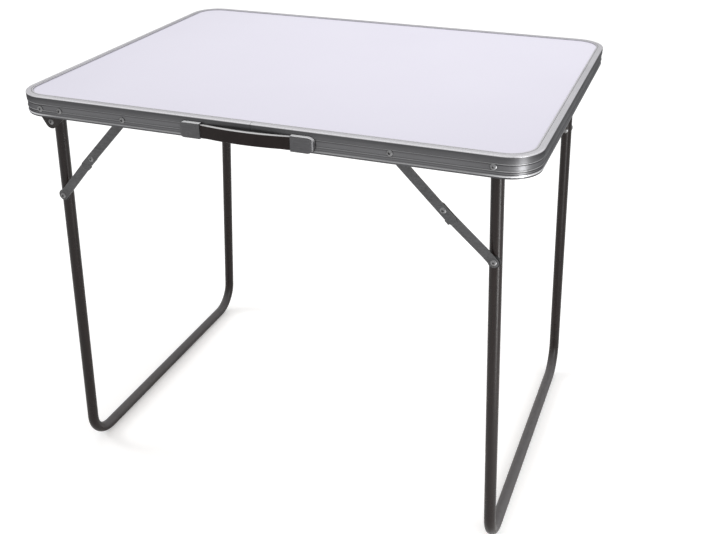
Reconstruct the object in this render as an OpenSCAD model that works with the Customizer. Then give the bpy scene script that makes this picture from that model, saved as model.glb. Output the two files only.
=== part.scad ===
// Folding table: a framed board on two U-shaped tube legs that fold flat underneath,
// each held open by a pair of two-link stays.
// Millimetres, +Z up, X along the table, the carry handle on the -Y side, floor at Z = 0.

/* [Table top] */
// Length of the table top
table_w = 800; // [700:10:1000]
// Depth of the table top
table_d = 600; // [500:10:700]
// Height of the table top above the floor
table_h = 680; // [640:10:740]
// Outside corner radius of the rim
corner_r = 48; // [30:1:60]
// Height of the rim
rim_h = 32; // [32:0.5:36]
// Width of the rim's lip over the board
lip_w = 11; // [8:0.5:14]
// Thickness of the board with its laminate
board_t = 4.2; // [3:0.1:4.4]

/* [Legs] */
// Diameter of the leg tube
tube_d = 18.5; // [16:0.5:19]
// Wall thickness of the leg tube
tube_wall = 1.2; // [1:0.1:2]
// Centreline radius of the bends at the floor
bend_r = 50; // [35:1:70]
// Distance of the leg pivots from the table's centre
pivot_x = 344; // [330:1:350]
// Drop of the left pivots below the table top
left_drop = 42; // [41:0.5:46]
// Drop of the right pivots below the table top
right_drop = 16.5; // [16.5:0.5:18]
// Outward lean of the left frame, in degrees
left_splay = 3.34; // [1:0.01:5]
// Outward lean of the right frame, in degrees
right_splay = 2.39; // [1:0.01:5]
// Half the distance between the left legs' centres
left_half = 268; // [262:0.5:269]
// Half the distance between the right legs' centres
right_half = 272.5; // [268:0.5:273]

/* [Stays] */
// Distance of the left stays' rim rivets from the table's centre
left_anchor_x = 208.5; // [204:0.5:212]
// Distance of the right stays' rim rivets from the table's centre
right_anchor_x = 204.5; // [202:0.5:208]
// Drop of the left stays' rim rivets below the table top
left_anchor_drop = 20.5; // [18:0.5:22]
// Distance along the left leg from its pivot to the stay rivet
left_reach = 127.5; // [120:0.5:132]
// Distance along the right leg from its pivot to the stay rivet
right_reach = 144; // [140:0.5:148]
// Width of the upper links
upper_w = 14; // [12:0.5:14]
// Width of the lower links
lower_w = 14; // [12:0.5:15]
// Thickness of the links
link_t = 2; // [1.5:0.1:2]

/* [Handle] */
// Distance of the handle's middle from the table's centre
handle_x = -6; // [-10:1:0]
// Length of the handle over its end caps
handle_len = 208; // [200:1:210]
// Length of each end cap
cap_len = 34; // [32:1:36]
// Height of the end caps
cap_h = 22.5; // [21:0.5:23]
// How far the strap bows out from the rim
handle_out = 12.5; // [12:0.5:15]

/* [Hidden] */
$fn = 64;

// Left and right frames share their modules; a list holds the left value first.
LEFT = 0;
RIGHT = 1;
drop = [left_drop, right_drop];
splay = [left_splay, right_splay];
half = [left_half, right_half];
anchor_x = [left_anchor_x, right_anchor_x];
anchor_drop = [left_anchor_drop, right_drop];
reach = [left_reach, right_reach];
// Angle below level at which the upper link lies when its frame is folded.
folded_dip = [6, 0];

// Rim section: distances are measured inward from the rim's outermost face.
lip_t = 1.4;
lip_edge_r = 2;
ledge_t = 1.4;
web_face = 0.7;
web_back = 2.5;
ridge_r = 0.9;
ridge_drops = [11.8, 21.5];
bead_r = 1.25;
bead_drop = 28.6;
foot_face = 1.1;
foot_drop = 30;
groove_at = 8.2;
groove_w = 0.6;
groove_deep = 0.4;
seam_x = 1;
seam_w = 0.4;
slot_play = 0.5;
laminate_t = 0.8;
splice_len = 168;
splice_w = 16;

// Fastener sizes.
rivet_head_h = 1.5;
pin_r = 3;
stay_rivet_r = 2.5;
bracket_rivet_r = 2.5;
bracket_tail_r = 3.7;
bracket_tail_h = 1.2;
running = 0.05;
gap = 0.3;
head_r = 4.5;
dimple_r = 1.8;
dimple_deep = 2.4;
plate_t = 2;

// The handle and the rivet heads stand out unequally, so the top sits a little behind Y = 0.
table_y = (handle_out - rivet_head_h) / 2;

// Layers across the depth, as distances from the table's middle plane.
rim_y = table_d / 2;
web_y = rim_y - web_back;
upper_y = web_y - plate_t - gap;
knee_y = upper_y - link_t - 0.4;
tube_r = tube_d / 2;
washer_t = 1.6;
plug_len = 22;

tube_face = [half[LEFT] + tube_r, half[RIGHT] + tube_r];
link_foot_y = [for (k = [LEFT, RIGHT]) tube_face[k] + washer_t + gap];
bracket_step = 7;
end_round_r = 10.4;
pin_seat = [web_y - bracket_step, rim_y];
sleeve_top = [web_y - plate_t - bracket_step, web_y];
sleeve_r = 6;

function pivot(k) = [pivot_x, table_h - drop[k]];
function anchor(k) = [anchor_x[k], table_h - anchor_drop[k]];
function leg_point(k) = pivot(k) + reach[k] * [sin(splay[k]), -cos(splay[k])];
function leg_len(k) = (table_h - drop[k] - tube_r) / cos(splay[k]);
function stay_len(k) = norm(leg_point(k) - anchor(k));
function stay_angle(k) = atan2(leg_point(k)[1] - anchor(k)[1], leg_point(k)[0] - anchor(k)[0]);
// Where the leg's stay rivet lies when the frame is folded, seen from the rim rivet.
function folded_gap(k) = pivot(k) - [reach[k], 0] - anchor(k);
// The knee runs on an ellipse about the two rivets, so both links close when open and folded.
function upper_len(k) =
    let (half_sum = stay_len(k) / 2,
         focus = norm(folded_gap(k)) / 2,
         turn = atan2(folded_gap(k)[1], folded_gap(k)[0]) - (180 + folded_dip[k]))
    (half_sum * half_sum - focus * focus) / (half_sum - focus * cos(turn));
function lower_len(k) = stay_len(k) - upper_len(k);

// Stay proportions along the links.
upper_tail = 24;
tab_from = 12;
tab_to = 20;
tab_gap = 0.3;
tab_t = 1;
lower_tail = 12;
flat_end = 14;

// Bracket plate, in the plane of its rivets.
bracket_rivets_x = [352.5, 318.5];
bracket_rivets_drop = 19.5;
bracket_ears_x = [350, 314];
bracket_shoulder = [355.6, 27];
bracket_ear_r = 8;
bracket_tip_r = 10.5;
bracket_bend_top = 24;

// Handle proportions, as distances out from the rim.
strap_t = 5.5;
strap_w = 18.5;
strap_end_t = 3.5;
strap_end_out = 1.5;
cap_out = 7.5;
cap_wall = 1.7;
cap_corner_r = 9;
handle_drop = 18.8;
screw_inset = 29;
screw_r = 2;
screw_head_h = 1.6;
boss_r = 3.2;
strap_slide = 8;

module in_table() translate([0, table_y, 0]) children();

module front_or_back(front) {
    if (front) mirror([0, 1, 0]) children();
    else children();
}

module left_or_right(k) {
    if (k == LEFT) mirror([1, 0, 0]) children();
    else children();
}

// Places a shape drawn for the right back quarter at one of the four quarters.
module quarter(k, front) in_table() left_or_right(k) front_or_back(front) children();

module both_quarters(k) for (front = [true, false]) quarter(k, front) children();

// Stands an outline drawn in X and Z between two distances from the middle plane.
module plate(from_y, to_y) translate([0, to_y, 0]) rotate([90, 0, 0]) linear_extrude(to_y - from_y)
    children();

// A round bar along Y between two distances from the middle plane.
module bar_y(r, from_y, to_y) translate([0, from_y, 0]) rotate([-90, 0, 0])
    cylinder(r = r, h = to_y - from_y);

module at(p) translate([p[0], 0, p[1]]) children();

// Domed head on a face at y; it rises towards -Y where up is -1.
module head_y(r, h, y, up = 1) {
    dome_r = (r * r + h * h) / (2 * h);
    translate([0, y, 0]) rotate([-90 * up, 0, 0]) rotate_extrude() intersection() {
        translate([0, h - dome_r]) circle(dome_r, $fn = 128);
        square([r, h]);
    }
}

// Shank with a rolled outer head, hollow in its middle.
module rolled_rivet(r, from_y, to_y, h = rivet_head_h) difference() {
    union() {
        bar_y(r, from_y, to_y);
        head_y(head_r, h, to_y);
    }
    bar_y(dimple_r, to_y + h - dimple_deep, to_y + h + 1);
}

module slot2d(len, r) {
    circle(r);
    translate([len, 0]) circle(r);
    translate([0, -r]) square([len, 2 * r]);
}

// Where the outer tangent of two circles touches both, on the right of the way from p to q.
function touch(p, rp, q, rq) =
    let (along = (q - p) / norm(q - p),
         lean = (rp - rq) / norm(q - p),
         out = lean * along + sqrt(1 - lean * lean) * [along[1], -along[0]])
    [p + rp * out, q + rq * out];

// ---- Table top ----

// Rim section: X is the distance from the corner's centre, Y the height against the top face.
module rim_section() translate([corner_r, 0]) mirror([1, 0]) difference() {
    union() {
        translate([lip_edge_r, -lip_edge_r]) circle(lip_edge_r);
        translate([lip_edge_r, -lip_t]) square([lip_w - lip_edge_r, lip_t]);
        translate([lip_edge_r, -lip_edge_r]) square([web_back - lip_edge_r, lip_edge_r]);
        translate([0, -ridge_drops[0] + ridge_r]) square([web_back, ridge_drops[0] - ridge_r - lip_edge_r]);
        translate([web_face, -foot_drop]) square([web_back - web_face, foot_drop - lip_edge_r]);
        translate([foot_face, -rim_h]) square([web_back - foot_face, rim_h - foot_drop]);
        translate([web_back - 0.5, -lip_t - board_t - ledge_t]) square([lip_w - web_back + 0.5, ledge_t]);
        for (d = ridge_drops) translate([ridge_r, -d]) circle(ridge_r);
        translate([bead_r, -bead_drop]) circle(bead_r);
    }
    translate([groove_at, -groove_deep]) square([groove_w, 1]);
    translate([web_back, -lip_t - board_t]) square([lip_w, board_t]);
}

module rim_run(len, out) translate([-len / 2, out - corner_r, table_h]) rotate([90, 0, 90])
    linear_extrude(len) rim_section();

module rim_holes() {
    for (front = [true, false]) front_or_back(front) {
        at(pivot(RIGHT)) bar_y(pin_r, web_y - 1, rim_y + 1);
        for (k = [LEFT, RIGHT]) left_or_right(k) at(anchor(k)) bar_y(stay_rivet_r, web_y - 1, rim_y + 1);
        for (x = bracket_rivets_x) at([-x, table_h - bracket_rivets_drop])
            bar_y(bracket_rivet_r, web_y - 1, rim_y + 1);
    }
    front_or_back(true) handle_screw_places() bar_y(screw_r, web_y - 1, rim_y + 1);
}

module rim_frame() color("#7c7d80") in_table() difference() {
    union() {
        for (turn = [0, 180]) rotate(turn) rim_run(table_w - 2 * corner_r, table_d / 2);
        for (turn = [90, 270]) rotate(turn) rim_run(table_d - 2 * corner_r, table_w / 2);
        for (sx = [-1, 1], sy = [-1, 1])
            translate([sx * (table_w / 2 - corner_r), sy * (table_d / 2 - corner_r), table_h])
                rotate(sx > 0 ? (sy > 0 ? 0 : 270) : (sy > 0 ? 90 : 180))
                    rotate_extrude(angle = 90) rim_section();
    }
    rim_holes();
    translate([seam_x - seam_w / 2, -rim_y - 1, table_h - rim_h - 1]) cube([seam_w, lip_w + 2, rim_h + 2]);
}

module rounded_sheet(thick) {
    inset = web_back + slot_play;
    r = corner_r - inset;
    w = table_w - 2 * inset;
    d = table_d - 2 * inset;
    linear_extrude(thick) {
        square([w - 2 * r, d], center = true);
        square([w, d - 2 * r], center = true);
        for (sx = [-1, 1], sy = [-1, 1]) translate([sx * (w / 2 - r), sy * (d / 2 - r)]) circle(r);
    }
}

module top_laminate() color("#e6e4f0") in_table()
    translate([0, 0, table_h - lip_t - laminate_t]) rounded_sheet(laminate_t);

module board_core() color("#b79a72") in_table()
    translate([0, 0, table_h - lip_t - board_t]) rounded_sheet(board_t - laminate_t);

module rim_splice_plate() color("#8d8e90") in_table() front_or_back(true) difference() {
    at([handle_x, table_h - handle_drop]) plate(web_y - plate_t, web_y)
        square([splice_len, splice_w], center = true);
    handle_screw_places() bar_y(screw_r, web_y - plate_t - 1, web_y + 1);
}

// ---- Carry handle ----

module handle_screw_places() for (s = [-1, 1])
    at([handle_x + s * (handle_len / 2 - screw_inset), table_h - handle_drop]) children();

// Drawn for the right cap: X runs from the handle's middle to its end, Z from its centre line.
module end_cap() {
    start = handle_len / 2 - cap_len;
    inner_w = cap_h - 2 * cap_wall;
    difference() {
        intersection() {
            plate(rim_y, rim_y + cap_out) union() {
                translate([start, -cap_h / 2]) square([cap_len - cap_corner_r, cap_h]);
                translate([start, -cap_h / 2 + cap_corner_r]) square([cap_len, cap_h - 2 * cap_corner_r]);
                for (s = [-1, 1])
                    translate([handle_len / 2 - cap_corner_r, s * (cap_h / 2 - cap_corner_r)])
                        circle(cap_corner_r);
            }
            translate([0, rim_y, -cap_h]) linear_extrude(2 * cap_h) union() {
                translate([start, 0]) square([cap_len - cap_out, cap_out]);
                translate([handle_len / 2 - cap_out, 0]) circle(cap_out);
            }
        }
        translate([start - 1, rim_y - 1, -inner_w / 2])
            cube([cap_len - cap_wall - 3, 1 + cap_out - cap_wall, inner_w]);
    }
    translate([handle_len / 2 - screw_inset, 0, 0]) difference() {
        bar_y(boss_r, rim_y, rim_y + cap_out - cap_wall + 0.5);
        bar_y(screw_r, rim_y - 1, rim_y + cap_out - cap_wall);
    }
}

module handle_cap(k) color("#6f7073") in_table() at([handle_x, table_h - handle_drop])
    front_or_back(true) left_or_right(k) end_cap();

// The strap bows out between the caps as an arc and runs flat inside them.
module handle_strap() color("#2b2422") in_table() at([handle_x, table_h - handle_drop])
    front_or_back(true) difference() {
        chord = handle_len / 2 - cap_len - 1;
        end_mid = strap_end_out + strap_end_t / 2;
        bow = handle_out - strap_t / 2 - end_mid;
        bow_r = (chord * chord + bow * bow) / (2 * bow);
        end_len = cap_len - cap_wall - 6;
        translate([0, rim_y, -strap_w / 2]) linear_extrude(strap_w) union() {
            intersection() {
                translate([0, end_mid + bow - bow_r]) difference() {
                    circle(bow_r + strap_t / 2, $fn = 360);
                    circle(bow_r - strap_t / 2, $fn = 360);
                }
                translate([-chord, strap_end_out]) square([2 * chord, handle_out]);
            }
            for (s = [-1, 1]) translate([s * (chord + end_len / 2), end_mid])
                square([end_len + 1, strap_end_t], center = true);
        }
        for (s = [-1, 1]) translate([s * (handle_len / 2 - screw_inset) - (s < 0 ? strap_slide : 1), 0, 0])
            plate(rim_y, rim_y + cap_out) slot2d(strap_slide + 1, boss_r + 0.2);
    }

module handle_screws() color("#9a9a9c") in_table() front_or_back(true) handle_screw_places() {
    bar_y(screw_r, web_y - plate_t, rim_y + cap_out - cap_wall);
    head_y(boss_r, screw_head_h, web_y - plate_t, -1);
}

// ---- Left hinge brackets ----

// Rounded corners, listed anticlockwise, with straight edges between them.
module bracket_outline() {
    ear_z = table_h - bracket_rivets_drop;
    corners = [
        pivot(LEFT), [bracket_shoulder[0], table_h - bracket_shoulder[1]],
        [bracket_ears_x[0], ear_z], [bracket_ears_x[1], ear_z]
    ];
    radii = [bracket_tip_r, bracket_ear_r, bracket_ear_r, bracket_ear_r];
    n = len(corners);
    for (i = [0:n - 1]) translate(corners[i]) circle(radii[i]);
    polygon([
        for (i = [0:n - 1]) each touch(corners[i], radii[i], corners[(i + 1) % n], radii[(i + 1) % n])
    ]);
}

// The room inside the rim at a corner, where the plate's outer end is dressed to fit.
module inside_rim_corner() {
    r = corner_r - web_back;
    x = table_w / 2 - corner_r;
    y = table_d / 2 - corner_r;
    translate([0, 0, table_h - 2 * rim_h]) {
        translate([x, y, 0]) cylinder(r = r, h = 2 * rim_h);
        cube([x, y + r, 2 * rim_h]);
    }
}

// Side view of the plate: flat behind the rim, then stepped inward below it.
module bracket_fold() {
    y0 = web_y - plate_t;
    bend = table_h - bracket_bend_top;
    top = table_h - bracket_rivets_drop + bracket_ear_r + 1;
    low = table_h - left_drop - bracket_tip_r - 1;
    polygon([
        [y0, top], [y0 + plate_t, top], [y0 + plate_t, bend],
        [y0 + plate_t - bracket_step, bend - bracket_step],
        [y0 + plate_t - bracket_step, low], [y0 - bracket_step, low],
        [y0 - bracket_step, bend - bracket_step - 0.8], [y0, bend - 0.8]
    ]);
}

module hinge_bracket(front) color("#3b3634") quarter(LEFT, front) difference() {
    intersection() {
        plate(web_y - plate_t - bracket_step - 1, web_y + 1) bracket_outline();
        translate([bracket_ears_x[1] - bracket_ear_r - 1, 0, 0]) rotate([90, 0, 90])
            linear_extrude(bracket_shoulder[0] - bracket_ears_x[1] + 2 * bracket_ear_r + 2) bracket_fold();
        inside_rim_corner();
    }
    at(pivot(LEFT)) bar_y(pin_r, web_y - plate_t - bracket_step - 1, web_y + 1);
    for (x = bracket_rivets_x) at([x, table_h - bracket_rivets_drop])
        bar_y(bracket_rivet_r, web_y - plate_t - 1, web_y + 1);
}

module bracket_rivets() color("#a5a5a8") both_quarters(LEFT)
    for (x = bracket_rivets_x) at([x, table_h - bracket_rivets_drop]) {
        rolled_rivet(bracket_rivet_r, web_y - plate_t, rim_y);
        head_y(bracket_tail_r, bracket_tail_h, web_y - plate_t, -1);
    }

// ---- Leg pivots ----

module pivot_pin(k, front) color("#a5a5a8") quarter(k, front) at(pivot(k)) {
    inside = half[k] - tube_r - gap;
    rolled_rivet(pin_r, inside, pin_seat[k]);
    head_y(head_r, rivet_head_h, inside, -1);
}

module pivot_sleeves(k) color("#2a2a2c") both_quarters(k) at(pivot(k)) difference() {
    bar_y(sleeve_r, tube_face[k] + gap, sleeve_top[k]);
    bar_y(pin_r, tube_face[k], sleeve_top[k] + 1);
}

// ---- Leg frames ----

// Centreline of the U, as a run of round stock: legs down from the pivots, then the floor bar.
module u_run(k, r) {
    low = -leg_len(k);
    span = half[k] - bend_r;
    for (s = [-1, 1]) {
        translate([0, s * half[k], low + bend_r]) cylinder(r = r, h = -low - bend_r + end_round_r);
        translate([0, s * span, low + bend_r]) rotate([90, 0, s > 0 ? 90 : -90]) rotate([0, 0, 270])
            rotate_extrude(angle = 90) translate([bend_r, 0]) circle(r);
    }
    translate([0, -span, low]) rotate([-90, 0, 0]) cylinder(r = r, h = 2 * span);
}

// The leg's upper ends are dressed to a radius about the pivot.
module below_end_round(k) {
    wide = 2 * half[k] + 4 * tube_r;
    rotate([90, 0, 0]) cylinder(r = end_round_r, h = wide, center = true);
    translate([-tube_d, -wide / 2, -leg_len(k) - tube_d]) cube([2 * tube_d, wide, leg_len(k) + tube_d]);
}

module in_leg(k) in_table() left_or_right(k) at(pivot(k)) rotate([0, -splay[k], 0]) children();

module leg_cross_holes(k) for (front = [true, false]) front_or_back(front) {
    bar_y(pin_r + running, half[k] - tube_d, half[k] + tube_d);
    translate([0, 0, -reach[k]]) bar_y(pin_r, half[k] - tube_d, half[k] + tube_d);
}

module leg_frame(k) color("#332b29") in_leg(k) difference() {
    intersection() {
        difference() {
            u_run(k, tube_r);
            u_run(k, tube_r - tube_wall);
        }
        below_end_round(k);
    }
    leg_cross_holes(k);
}

module leg_plugs(k) color("#1c1c1e") in_leg(k) for (front = [true, false]) front_or_back(front)
    difference() {
        intersection() {
            translate([0, half[k], end_round_r - plug_len]) cylinder(r = tube_r - tube_wall, h = plug_len);
            below_end_round(k);
        }
        bar_y(pin_r + running, half[k] - tube_d, half[k] + tube_d);
    }

// ---- Stays ----

module stay_rim_rivets() color("#a5a5a8") for (k = [LEFT, RIGHT]) both_quarters(k) at(anchor(k)) {
    inside = upper_y - link_t - gap;
    rolled_rivet(stay_rivet_r, inside, rim_y);
    head_y(head_r, rivet_head_h, inside, -1);
}

module stay_rim_washers() color("#2a2a2c") for (k = [LEFT, RIGHT]) both_quarters(k)
    at(anchor(k)) difference() {
        bar_y(sleeve_r, web_y - plate_t, web_y);
        bar_y(stay_rivet_r, web_y - plate_t - 1, web_y + 1);
    }

// Points a link drawn along +X down the line of the open stay.
module in_stay(k, front) quarter(k, front) at(anchor(k)) rotate([0, -stay_angle(k), 0]) children();

module upper_link(k, front) color("#6d6e70") in_stay(k, front) {
    len = upper_len(k);
    tail_end = len + upper_tail - upper_w / 2;
    tab_low = -lower_w / 2 - tab_gap - tab_t;
    difference() {
        plate(upper_y - link_t, upper_y) union() {
            slot2d(tail_end, upper_w / 2);
            translate([len + tab_from, tab_low]) square([tab_to - tab_from, -tab_low]);
        }
        bar_y(stay_rivet_r + running, upper_y - link_t - 1, upper_y + 1);
        translate([len, 0, 0]) bar_y(stay_rivet_r, upper_y - link_t - 1, upper_y + 1);
    }
    translate([len + tab_from, knee_y - link_t, tab_low])
        cube([tab_to - tab_from, upper_y - knee_y + link_t / 2, tab_t]);
}

module knee_rivet(k, front) color("#8c8c90") in_stay(k, front) translate([upper_len(k), 0, 0])
    rolled_rivet(stay_rivet_r, upper_y - link_t, upper_y);

// Side view of a lower link: flat against the leg, slanting out to the knee.
module lower_fold(k) {
    foot = link_foot_y[k];
    knee = knee_y - link_t;
    start = -lower_w;
    end = lower_len(k) + lower_tail + 1;
    bend_a = flat_end;
    bend_b = lower_len(k) - flat_end;
    polygon([
        [start, foot], [bend_a, foot], [bend_b, knee], [end, knee],
        [end, knee + link_t], [bend_b, knee + link_t], [bend_a, foot + link_t], [start, foot + link_t]
    ]);
}

// The lower link is drawn from its leg rivet towards the knee.
module in_lower(k, front) in_stay(k, front) translate([stay_len(k), 0, 0]) mirror([1, 0, 0]) children();

module lower_link(k, front) color("#77787a") in_lower(k, front) difference() {
    len = lower_len(k);
    intersection() {
        linear_extrude(2 * lower_w, center = true) lower_fold(k);
        plate(link_foot_y[k] - 1, knee_y + 1) slot2d(len + lower_tail - lower_w / 2, lower_w / 2);
    }
    bar_y(pin_r + running, link_foot_y[k] - 1, link_foot_y[k] + link_t + 1);
    translate([len, 0, 0]) bar_y(stay_rivet_r, knee_y - link_t - 1, knee_y + 1);
}

module knee_tail(k, front) color("#8c8c90") in_lower(k, front) translate([lower_len(k), 0, 0]) {
    bar_y(stay_rivet_r, knee_y - link_t, knee_y);
    head_y(head_r, rivet_head_h, knee_y - link_t, -1);
}

module stay_leg_rivets(k) color("#a5a5a8") both_quarters(k) at(leg_point(k)) {
    outside = link_foot_y[k] + link_t + gap;
    rolled_rivet(pin_r, half[k] - tube_r, outside);
    head_y(head_r, rivet_head_h, half[k] - tube_r, -1);
}

module stay_leg_washers(k) color("#2a2a2c") both_quarters(k) at(leg_point(k)) difference() {
    bar_y(tube_r, tube_face[k], tube_face[k] + washer_t);
    bar_y(pin_r, tube_face[k] - 1, tube_face[k] + washer_t + 1);
}

board_core();
top_laminate();
rim_frame();
rim_splice_plate();
handle_strap();
handle_cap(LEFT);  // handle_left_cap
handle_cap(RIGHT);  // handle_right_cap
handle_screws();
hinge_bracket(true);  // left_front_bracket
hinge_bracket(false);  // left_back_bracket
bracket_rivets();
pivot_pin(LEFT, true);  // left_front_pivot_pin
pivot_pin(LEFT, false);  // left_back_pivot_pin
pivot_pin(RIGHT, true);  // right_front_pivot_pin
pivot_pin(RIGHT, false);  // right_back_pivot_pin
pivot_sleeves(LEFT);  // left_pivot_sleeves
pivot_sleeves(RIGHT);  // right_pivot_sleeves
stay_rim_rivets();
stay_rim_washers();
leg_frame(LEFT);  // left_leg_frame
leg_plugs(LEFT);  // left_leg_plugs
stay_leg_rivets(LEFT);  // left_stay_leg_rivets
stay_leg_washers(LEFT);  // left_stay_leg_washers
leg_frame(RIGHT);  // right_leg_frame
leg_plugs(RIGHT);  // right_leg_plugs
stay_leg_rivets(RIGHT);  // right_stay_leg_rivets
stay_leg_washers(RIGHT);  // right_stay_leg_washers
upper_link(LEFT, true);  // left_front_upper_link
knee_rivet(LEFT, true);  // left_front_knee_rivet
lower_link(LEFT, true);  // left_front_lower_link
knee_tail(LEFT, true);  // left_front_knee_tail
upper_link(LEFT, false);  // left_back_upper_link
knee_rivet(LEFT, false);  // left_back_knee_rivet
lower_link(LEFT, false);  // left_back_lower_link
knee_tail(LEFT, false);  // left_back_knee_tail
upper_link(RIGHT, true);  // right_front_upper_link
knee_rivet(RIGHT, true);  // right_front_knee_rivet
lower_link(RIGHT, true);  // right_front_lower_link
knee_tail(RIGHT, true);  // right_front_knee_tail
upper_link(RIGHT, false);  // right_back_upper_link
knee_rivet(RIGHT, false);  // right_back_knee_rivet
lower_link(RIGHT, false);  // right_back_lower_link
knee_tail(RIGHT, false);  // right_back_knee_tail
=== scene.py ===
"""Looks for the folding table: procedural materials, small surface detail, floor, light and camera."""

import math

import bpy
from mathutils import Matrix, Vector


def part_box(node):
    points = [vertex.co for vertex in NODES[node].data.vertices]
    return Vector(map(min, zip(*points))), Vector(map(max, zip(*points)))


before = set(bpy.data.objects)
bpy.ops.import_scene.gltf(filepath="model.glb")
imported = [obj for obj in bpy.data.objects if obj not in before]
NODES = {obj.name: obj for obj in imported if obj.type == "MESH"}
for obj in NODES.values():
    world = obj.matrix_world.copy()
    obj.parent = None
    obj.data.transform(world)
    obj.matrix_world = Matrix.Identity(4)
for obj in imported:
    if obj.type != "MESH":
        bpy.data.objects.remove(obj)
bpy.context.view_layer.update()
MM = 0.001
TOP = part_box("rim_frame")[1].z


# ---------- node helpers ----------

# The bevelled and true directions agree this well on a face, and on an edge.
FLAT_DOT, EDGE_DOT = 0.98, 0.55
# The share of its surroundings that a surface sees where the painted shade of nearby parts starts, and
# where it is full.
OPEN_AIR, TIGHT_CORNER = 0.95, 0.55


class Shader:
    """A material under construction: the principled shader and short calls that add nodes to it."""

    def __init__(self, name):
        self.mat = bpy.data.materials.new(name)
        self.mat.use_nodes = True
        self.tree = self.mat.node_tree
        self.bsdf = self.tree.nodes["Principled BSDF"]
        self.at = self.add("ShaderNodeTexCoord").outputs["Object"]

    def add(self, kind, **props):
        made = self.tree.nodes.new(kind)
        for key, value in props.items():
            setattr(made, key, value)
        return made

    def feed(self, socket, value):
        if isinstance(value, bpy.types.NodeSocket):
            self.tree.links.new(value, socket)
        else:
            socket.default_value = value

    def math(self, operation, a, b=0.0):
        made = self.add("ShaderNodeMath", operation=operation)
        self.feed(made.inputs[0], a)
        self.feed(made.inputs[1], b)
        return made.outputs[0]

    def stretch(self, scale, turn=(0, 0, 0)):
        made = self.add("ShaderNodeMapping")
        self.feed(made.inputs["Vector"], self.at)
        made.inputs["Rotation"].default_value = turn
        made.inputs["Scale"].default_value = scale
        return made.outputs[0]

    def noise(self, scale, detail=3.0, rough=0.55, at=None):
        made = self.add("ShaderNodeTexNoise")
        self.feed(made.inputs["Vector"], at or self.at)
        made.inputs["Scale"].default_value = scale
        made.inputs["Detail"].default_value = detail
        made.inputs["Roughness"].default_value = rough
        return made.outputs["Fac"]

    def cells(self, scale, at=None, feature="F1"):
        made = self.add("ShaderNodeTexVoronoi", feature=feature)
        self.feed(made.inputs["Vector"], at or self.at)
        made.inputs["Scale"].default_value = scale
        return made.outputs["Distance"]

    def span(self, value, low, high, to_low=0.0, to_high=1.0):
        made = self.add("ShaderNodeMapRange", clamp=True)
        self.feed(made.inputs["Value"], value)
        made.inputs["From Min"].default_value = low
        made.inputs["From Max"].default_value = high
        made.inputs["To Min"].default_value = to_low
        made.inputs["To Max"].default_value = to_high
        return made.outputs[0]

    def mix(self, factor, a, b):
        made = self.add("ShaderNodeMix", data_type="RGBA")
        self.feed(made.inputs["Factor"], factor)
        self.feed(made.inputs["A"], a)
        self.feed(made.inputs["B"], b)
        return made.outputs["Result"]

    def axes(self):
        made = self.add("ShaderNodeSeparateXYZ")
        self.feed(made.inputs[0], self.at)
        return made.outputs

    def up(self):
        """The upward part of the surface's direction at rest: 1 on level faces, 0 on upright ones."""
        made = self.add("ShaderNodeSeparateXYZ")
        self.feed(made.inputs[0], self.add("ShaderNodeTexCoord").outputs["Normal"])
        return made.outputs["Z"]

    def bump(self, height, distance, strength=1.0, under=None):
        made = self.add("ShaderNodeBump")
        made.inputs["Strength"].default_value = strength
        made.inputs["Distance"].default_value = distance
        self.feed(made.inputs["Height"], height)
        if under is not None:
            self.feed(made.inputs["Normal"], under)
        return made.outputs[0]

    def edge(self, radius):
        """1 along convex and concave edges, 0 on the faces between them."""
        soft = self.add("ShaderNodeBevel", samples=6)
        soft.inputs["Radius"].default_value = radius
        flat = self.add("ShaderNodeNewGeometry").outputs["Normal"]
        dot = self.add("ShaderNodeVectorMath", operation="DOT_PRODUCT")
        self.feed(dot.inputs[0], soft.outputs[0])
        self.feed(dot.inputs[1], flat)
        return self.span(dot.outputs["Value"], FLAT_DOT, EDGE_DOT)

    def closed_in_shade(self, reach):
        """1 where another surface closes in within the reach, 0 in the open: the mask of a painted shade.
        """
        made = self.add("ShaderNodeAmbientOcclusion", samples=8)
        made.inputs["Distance"].default_value = reach
        return self.span(made.outputs["AO"], OPEN_AIR, TIGHT_CORNER)

    def done(self, color, rough, normal=None, **fixed):
        self.feed(self.bsdf.inputs["Base Color"], color)
        self.feed(self.bsdf.inputs["Roughness"], rough)
        if normal is not None:
            self.feed(self.bsdf.inputs["Normal"], normal)
        for key, value in fixed.items():
            self.bsdf.inputs[key.replace("_", " ")].default_value = value
        return self.mat


def rgb(r, g, b):
    return (r, g, b, 1.0)


# ---------- materials ----------


def laminate():
    s = Shader("laminate")
    cloud = s.noise(2.6, 2.0)
    smudge = s.noise(9.0, 4.0, 0.6)
    fleck = s.noise(1600.0, 1.0)
    color = s.mix(s.span(cloud, 0.3, 0.7), rgb(0.655, 0.636, 0.722), rgb(0.680, 0.662, 0.748))
    color = s.mix(s.span(fleck, 0.40, 0.80, 0.0, 0.04), color, rgb(0.54, 0.52, 0.60))
    rough = s.span(smudge, 0.30, 0.75, 0.38, 0.44)
    peel = s.bump(s.noise(700.0, 1.0), 0.00001, 0.15)
    return s.done(color, rough, peel, IOR=1.38)


def fibreboard():
    s = Shader("fibreboard")
    fibre = s.noise(420.0, 4.0, 0.7, s.stretch((1.0, 0.35, 1.0), (0, 0, 0.6)))
    blotch = s.noise(14.0, 3.0)
    color = s.mix(s.span(fibre, 0.3, 0.7), rgb(0.20, 0.125, 0.070), rgb(0.34, 0.235, 0.145))
    color = s.mix(s.span(blotch, 0.35, 0.75, 0.0, 0.35), color, rgb(0.17, 0.105, 0.06))
    return s.done(color, s.span(fibre, 0.3, 0.7, 0.86, 0.7), s.bump(fibre, 0.0002, 0.5))


# How far in from both sides of the rim its bends begin, and are full.
BEND_STARTS, BEND_FULL = 75 * MM, 30 * MM


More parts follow.
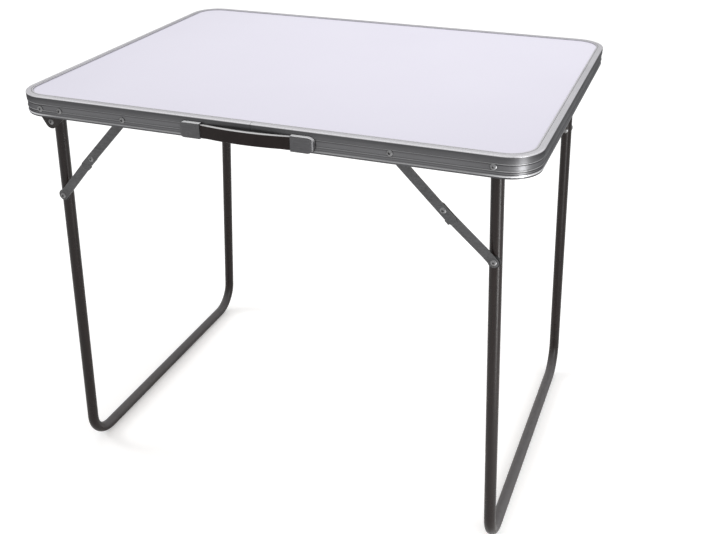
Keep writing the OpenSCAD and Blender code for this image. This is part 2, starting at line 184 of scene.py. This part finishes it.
def near(s, value, middle, half):
    """1 around the middle value, fading to 0 where the value is half away from it on either side."""
    gap = s.math("ABSOLUTE", s.math("SUBTRACT", value, middle))
    return s.span(gap, half, half * 0.5)


def rim_bends(s, x, y):
    """1 in the four bent corners of the rim, 0 along its straight runs."""
    low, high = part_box("rim_frame")
    middle = (low + high) / 2
    out_x = s.math("SUBTRACT", s.math("ABSOLUTE", s.math("SUBTRACT", x, middle.x)), high.x - middle.x)
    out_y = s.math("SUBTRACT", s.math("ABSOLUTE", s.math("SUBTRACT", y, middle.y)), high.y - middle.y)
    return s.span(s.math("MINIMUM", out_x, out_y), -BEND_STARTS, -BEND_FULL)


LIP_DARK = rgb(0.80, 0.79, 0.82)
LIP_LIGHT = rgb(0.96, 0.95, 0.98)
RIM_SHADE = rgb(0.030, 0.030, 0.031)
# Painted shade where other parts close in on the rim.
RIM_CONTACT_SHADE = rgb(0.030, 0.030, 0.030)

# Depths below the top of the rim, and half widths, of the lines along its profile: painted highlights on
# the ridges and bead, painted shadow lines in the creases.
RIDGES = ((11.8 * MM, 1.0 * MM), (21.5 * MM, 1.0 * MM))
CREASES = ((13.6 * MM, 0.9 * MM), (23.3 * MM, 0.9 * MM), (26.3 * MM, 1.1 * MM))
BEAD = (28.4 * MM, 1.6 * MM)


def profile_lines(s, depth, lines):
    """1 along the given lines of the profile, 0 between them."""
    drawn = near(s, depth, *lines[0])
    for line in lines[1:]:
        drawn = s.math("MAXIMUM", drawn, near(s, depth, *line))
    return drawn


def side_color(s, depth, bends, drawn, patch):
    """The rim's outer face: drawn dark as a painted reflection of dark surroundings, darker above as a
    painted shadow under the lip, with painted shadow lines in the creases and painted highlights on the
    ridges and bead.
    """
    ridges = profile_lines(s, depth, RIDGES)
    creases = profile_lines(s, depth, CREASES)
    # Painted highlight along the bead, strongest at the bends.
    bead = s.math("MULTIPLY", near(s, depth, *BEAD), s.span(bends, 0.0, 1.0, 0.28, 1.0))
    under = s.span(depth, 29.8 * MM, 30.6 * MM)
    # Painted highlight and shade on the ridges and creases, stronger at the bends.
    bend_light_and_shade = s.span(bends, 0.0, 1.0, 0.30, 0.80)
    # Painted shadow under the lip: the face is darker towards the top.
    low_half = s.span(depth, 3.0 * MM, 14.0 * MM)
    color = s.mix(low_half, rgb(0.058, 0.058, 0.061), rgb(0.158, 0.158, 0.164))
    color = s.mix(s.span(drawn, 0.30, 0.72, 0.0, 0.45), color, rgb(0.235, 0.235, 0.242))
    color = s.mix(s.span(patch, 0.45, 0.75, 0.0, 0.30), color, rgb(0.075, 0.074, 0.077))
    # Painted shadow lines in the creases and below the bead.
    color = s.mix(s.math("MULTIPLY", s.math("MAXIMUM", creases, under), bend_light_and_shade), color, RIM_SHADE)
    # Painted highlights on the ridges.
    color = s.mix(s.math("MULTIPLY", ridges, bend_light_and_shade), color, rgb(0.46, 0.46, 0.47))
    return s.mix(bead, color, rgb(0.86, 0.86, 0.88))


def lip_color(s):
    """The lip round the top: brushed bright, with a painted highlight along its edges."""
    brushing = s.noise(1.0, 3.0, 0.6, s.stretch((500.0, 500.0, 40.0)))
    brushed = s.mix(s.span(brushing, 0.3, 0.7), LIP_DARK, LIP_LIGHT)
    # Painted highlight along the lip's edges.
    return s.mix(s.edge(0.8 * MM), brushed, rgb(0.93, 0.93, 0.95))


def extrusion():
    """Satin drawn aluminium, with painted shadow lines and painted highlights along the profile, and a
    bright lip.
    """
    s = Shader("rim_aluminium")
    x, y, z = s.axes()
    drawn = s.noise(1.0, 3.0, 0.65, s.stretch((6.0, 6.0, 2300.0)))
    patch = s.noise(11.0, 3.0, 0.6, s.stretch((1.0, 1.0, 4.0)))
    pits = s.noise(1500.0, 2.0, 0.5)
    depth = s.math("SUBTRACT", TOP, z)
    lip = s.span(depth, 2.2 * MM, 1.2 * MM)
    color = s.mix(lip, side_color(s, depth, rim_bends(s, x, y), drawn, patch), lip_color(s))
    color = s.mix(s.span(pits, 0.66, 0.74, 0.0, 0.35), color, rgb(0.06, 0.06, 0.06))
    # Painted shade where other parts close in, as round the rivet heads and along the laminate.
    color = s.mix(s.math("MULTIPLY", s.closed_in_shade(2.5 * MM), 0.75), color, RIM_CONTACT_SHADE)
    rough = s.math("ADD", s.span(drawn, 0.3, 0.7, 0.34, 0.44), s.span(patch, 0.4, 0.7, 0.0, 0.07))
    lines = s.bump(drawn, 0.00005, 0.35)
    return s.done(color, rough, lines, Metallic=0.9, Specular_Tint=rgb(0.35, 0.35, 0.36))


def plate_metal():
    s = Shader("plate_aluminium")
    drawn = s.noise(1.0, 3.0, 0.65, s.stretch((8.0, 8.0, 1500.0)))
    color = s.mix(s.span(drawn, 0.3, 0.7), rgb(0.40, 0.40, 0.41), rgb(0.60, 0.60, 0.61))
    return s.done(color, s.span(drawn, 0.3, 0.7, 0.34, 0.48), s.bump(drawn, 0.00005, 0.4), Metallic=1.0)


def enamel(name, dark, light, painted_sheen):
    """Satin enamel on steel: orange peel, faint runs, paler scuffed edges, and a painted sheen on the
    floor bars' upper faces, which are also rougher.
    """
    s = Shader(name)
    z = s.axes()["Z"]
    runs = s.noise(1.0, 3.0, 0.6, s.stretch((160.0, 160.0, 5.0)))
    tone = s.noise(60.0, 2.0, 0.5)
    grit = s.noise(1300.0, 1.0, 0.5)
    color = s.mix(s.span(runs, 0.32, 0.68), dark, light)
    # Low down and facing up, on the floor bars: lighter as a painted sheen, and rougher.
    low = s.math("MULTIPLY", s.span(z, 0.060, 0.018), s.span(s.up(), -0.15, 0.75))
    low = s.math("MULTIPLY", low, s.span(tone, 0.2, 0.8, 0.75, 1.0))
    color = s.mix(s.math("MULTIPLY", low, painted_sheen), color, rgb(0.185, 0.18, 0.185))
    color = s.mix(s.span(grit, 0.50, 0.80, 0.0, 0.15), color, rgb(0.060, 0.052, 0.051))
    color = s.mix(s.math("MULTIPLY", s.edge(0.6 * MM), 0.35), color, rgb(0.16, 0.15, 0.15))
    rough = s.math("ADD", s.span(tone, 0.35, 0.7, 0.26, 0.34), s.math("MULTIPLY", low, 0.2))
    peel = s.bump(s.noise(450.0, 1.0), 0.00004, 0.2)
    return s.done(color, rough, peel, IOR=1.38)


def link_steel(name, turn):
    """Dull zinc plate with rolling lines along the strip, and a painted highlight along its edges."""
    s = Shader(name)
    along = s.stretch((26.0, 26.0, 900.0), (0, turn, 0))
    rolled = s.noise(1.0, 3.0, 0.6, along)
    spangle = s.cells(330.0)
    stain = s.noise(60.0, 4.0, 0.6)
    color = s.mix(s.span(rolled, 0.3, 0.7), rgb(0.080, 0.080, 0.082), rgb(0.125, 0.125, 0.128))
    color = s.mix(s.span(spangle, 0.1, 0.6, 0.0, 0.25), color, rgb(0.20, 0.20, 0.205))
    color = s.mix(s.span(stain, 0.50, 0.72, 0.0, 0.4), color, rgb(0.075, 0.073, 0.072))
    # Painted highlight along the strip's edges.
    color = s.mix(s.math("MULTIPLY", s.edge(1.3 * MM), 0.55), color, rgb(0.50, 0.50, 0.51))
    rough = s.span(stain, 0.3, 0.7, 0.34, 0.52)
    grain = s.bump(rolled, 0.00006, 0.4, s.bump(spangle, 0.00008, 0.25))
    return s.done(color, rough, grain, Metallic=1.0)


def rivet_steel():
    s = Shader("rivet_steel")
    tool = s.cells(900.0)
    stain = s.noise(240.0, 3.0, 0.6)
    color = s.mix(s.span(tool, 0.1, 0.7), rgb(0.20, 0.20, 0.205), rgb(0.31, 0.31, 0.315))
    color = s.mix(s.span(stain, 0.48, 0.7, 0.0, 0.6), color, rgb(0.10, 0.098, 0.095))
    return s.done(color, s.span(stain, 0.3, 0.7, 0.22, 0.42), s.bump(tool, 0.00005, 0.4), Metallic=1.0)


def black_nylon():
    s = Shader("black_nylon")
    grain = s.noise(1400.0, 2.0)
    scuff = s.noise(180.0, 4.0)
    color = s.mix(s.span(scuff, 0.45, 0.75), rgb(0.018, 0.018, 0.019), rgb(0.055, 0.055, 0.057))
    return s.done(color, s.span(scuff, 0.3, 0.7, 0.42, 0.6), s.bump(grain, 0.00008, 0.35))


def strap_skin():
    """Soft moulded strap with a fine leather-like grain, and a pale painted highlight along its upper
    face and edges.
    """
    s = Shader("handle_strap")
    grain = s.cells(1100.0, s.stretch((0.8, 1.0, 1.0)), "SMOOTH_F1")
    tone = s.noise(70.0, 4.0, 0.6)
    color = s.mix(s.span(tone, 0.3, 0.7), rgb(0.008, 0.0045, 0.004), rgb(0.015, 0.0095, 0.009))
    # Painted highlight: paler on the upward faces and along the edges.
    painted_strap_highlight = s.math("MAXIMUM", s.span(s.up(), 0.4, 0.9), s.math("MULTIPLY", s.edge(0.9 * MM), 0.5))
    color = s.mix(s.math("MULTIPLY", painted_strap_highlight, 0.9), color, rgb(0.62, 0.615, 0.62))
    rough = s.span(tone, 0.3, 0.7, 0.36, 0.50)
    return s.done(color, rough, s.bump(grain, 0.00016, 0.5), IOR=1.3)


def cap_metal():
    """Metal-finished end cap, with a bright painted highlight along the top."""
    s = Shader("handle_cap")
    cast = s.noise(1.0, 2.0, 0.5, s.stretch((70.0, 900.0, 900.0)))
    tone = s.noise(90.0, 3.0)
    color = s.mix(s.span(cast, 0.3, 0.7), rgb(0.070, 0.069, 0.073), rgb(0.100, 0.099, 0.104))
    color = s.mix(s.span(tone, 0.45, 0.75, 0.0, 0.4), color, rgb(0.085, 0.085, 0.09))
    # Painted highlight on the upward faces.
    painted_cap_highlight = s.span(s.up(), 0.15, 0.7)
    color = s.mix(painted_cap_highlight, color, rgb(0.90, 0.90, 0.92))
    return s.done(color, s.span(tone, 0.3, 0.7, 0.26, 0.38), s.bump(cast, 0.00004, 0.3), Metallic=0.3)


def stay_turn(side):
    """How far a side's stay slopes, so that the rolling lines follow it."""
    low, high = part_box(side + "_front_upper_link")
    slope = math.atan2(high.z - low.z, high.x - low.x)
    return slope if side == "right" else -slope


def paint_nodes():
    """Gives every CAD node its material."""
    tube = enamel("tube_paint", rgb(0.009, 0.0055, 0.005), rgb(0.016, 0.0105, 0.0095), 0.6)
    bracket = enamel("bracket_paint", rgb(0.012, 0.010, 0.010), rgb(0.024, 0.020, 0.019), 0.0)
    links = {side: link_steel("link_steel_" + side, stay_turn(side)) for side in ("left", "right")}
    rivets, nylon, cap = rivet_steel(), black_nylon(), cap_metal()
    made = {
        "top_laminate": laminate(),
        "board_core": fibreboard(),
        "rim_frame": extrusion(),
        "rim_splice_plate": plate_metal(),
        "handle_strap": strap_skin(),
        "handle_left_cap": cap,
        "handle_right_cap": cap,
    }
    for name, obj in NODES.items():
        if name in made:
            mat = made[name]
        elif name.endswith("_link"):
            mat = links[name.split("_")[0]]
        elif name.endswith("_leg_frame"):
            mat = tube
        elif name.endswith("_bracket"):
            mat = bracket
        elif name.endswith(("_sleeves", "_washers", "_plugs")):
            mat = nylon
        else:
            mat = rivets
        for slot in obj.material_slots:
            slot.material = mat


# ---------- stage ----------


FLOOR_REACH = 30.0
FLOOR_GLOW = 0.30
SKY_LIGHT, SKY_SEEN = 0.80, 1.40
SKY_STOPS = ((0.0, 0.75), (0.30, 0.95), (1.0, 1.0))


def floor():
    """A pale floor, drawn a little brighter for the camera than it lights the object."""
    mesh = bpy.data.meshes.new("floor")
    r = FLOOR_REACH
    mesh.from_pydata([(-r, -r, 0), (r, -r, 0), (r, r, 0), (-r, r, 0)], [], [(0, 1, 2, 3)])
    obj = bpy.data.objects.new("floor", mesh)
    bpy.context.scene.collection.objects.link(obj)
    s = Shader("floor_paint")
    tone = s.noise(1.5, 3.0)
    color = s.mix(s.span(tone, 0.3, 0.7), rgb(0.90, 0.90, 0.90), rgb(0.92, 0.92, 0.92))
    seen = s.add("ShaderNodeLightPath").outputs["Is Camera Ray"]
    s.feed(s.bsdf.inputs["Emission Strength"], s.math("MULTIPLY", seen, FLOOR_GLOW))
    s.bsdf.inputs["Emission Color"].default_value = rgb(1.0, 1.0, 1.0)
    mesh.materials.append(s.done(color, s.span(tone, 0.3, 0.7, 0.85, 0.9)))


def sky():
    """An even white studio, a little brighter overhead, and brighter again as the camera sees it."""
    world = bpy.data.worlds.new("studio")
    bpy.context.scene.world = world
    world.use_nodes = True
    tree = world.node_tree
    back = tree.nodes["Background"]
    at = tree.nodes.new("ShaderNodeTexCoord").outputs["Generated"]
    split = tree.nodes.new("ShaderNodeSeparateXYZ")
    tree.links.new(at, split.inputs[0])
    ramp = tree.nodes.new("ShaderNodeValToRGB")
    tree.links.new(split.outputs["Z"], ramp.inputs[0])
    while len(ramp.color_ramp.elements) < len(SKY_STOPS):
        ramp.color_ramp.elements.new(0.5)
    for element, (place, level) in zip(ramp.color_ramp.elements, SKY_STOPS):
        element.position = place
        element.color = (level, level, level, 1)
    tree.links.new(ramp.outputs[0], back.inputs[0])
    seen = tree.nodes.new("ShaderNodeLightPath").outputs["Is Camera Ray"]
    strength = tree.nodes.new("ShaderNodeMapRange")
    strength.inputs["To Min"].default_value = SKY_LIGHT
    strength.inputs["To Max"].default_value = SKY_SEEN
    tree.links.new(seen, strength.inputs["Value"])
    tree.links.new(strength.outputs[0], back.inputs[1])


def soft_light(name, place, aim, size, power, mirrored):
    """A rectangular panel; one that is not mirrored lights the matt surfaces only."""
    data = bpy.data.lights.new(name, "AREA")
    data.shape = "RECTANGLE"
    data.size, data.size_y = size
    data.energy = power
    obj = bpy.data.objects.new(name, data)
    obj.location = place
    obj.rotation_euler = (Vector(aim) - Vector(place)).to_track_quat("-Z", "Y").to_euler()
    obj.visible_camera = False
    obj.visible_glossy = mirrored
    bpy.context.scene.collection.objects.link(obj)


def sun(name, direction, strength, angle):
    """Even light from one side, which does not glare off the shiny surfaces."""
    data = bpy.data.lights.new(name, "SUN")
    data.energy = strength
    data.angle = math.radians(angle)
    obj = bpy.data.objects.new(name, data)
    obj.rotation_euler = Vector(direction).to_track_quat("-Z", "Y").to_euler()
    obj.visible_glossy = False
    bpy.context.scene.collection.objects.link(obj)


# The camera at the photograph's angle: its place in metres, its yaw, pitch and roll in degrees, its focal
# length in the same unit as the image's width, and its sensor in millimetres.
CAMERA_AT = (0.5875, -1.4059, 1.1227)
CAMERA_TURN = (21.389, 28.183, -0.544)
IMAGE_WIDTH = 706.0
FOCAL_LENGTH = 951.0
SENSOR = 36.0


def camera():
    yaw, pitch, roll = (math.radians(angle) for angle in CAMERA_TURN)
    ahead = Vector((-math.sin(yaw) * math.cos(pitch), math.cos(yaw) * math.cos(pitch), -math.sin(pitch)))
    level = Vector((math.cos(yaw), math.sin(yaw), 0.0))
    above = level.cross(ahead)
    right = math.cos(roll) * level + math.sin(roll) * above
    up = -math.sin(roll) * level + math.cos(roll) * above
    data = bpy.data.cameras.new("camera")
    data.sensor_width = SENSOR
    data.lens = FOCAL_LENGTH / IMAGE_WIDTH * SENSOR
    data.shift_x = -0.5 / IMAGE_WIDTH
    data.shift_y = 0.5 / IMAGE_WIDTH
    obj = bpy.data.objects.new("camera", data)
    turn = Matrix((right, up, -ahead)).transposed().to_4x4()
    obj.matrix_world = Matrix.Translation(CAMERA_AT) @ turn
    bpy.context.scene.collection.objects.link(obj)
    bpy.context.scene.camera = obj


paint_nodes()
floor()
sky()
sun("key", direction=(1.0, 0.10, -0.66), strength=0.85, angle=20.0)
soft_light(
    "top_panel",
    place=(0.12, 0.30, 1.70),
    aim=(0.12, 0.10, 0.68),
    size=(0.9, 0.9),
    power=4.9,
    mirrored=False,
)
# The side panel stays below the table top, so that it never glares off the laminate.
soft_light(
    "side_panel",
    place=(0.98, -0.62, 0.33),
    aim=(0.37, -0.27, 0.33),
    size=(0.22, 0.66),
    power=4.4,
    mirrored=True,
)
camera()
bpy.context.scene.view_settings.view_transform = "Standard"
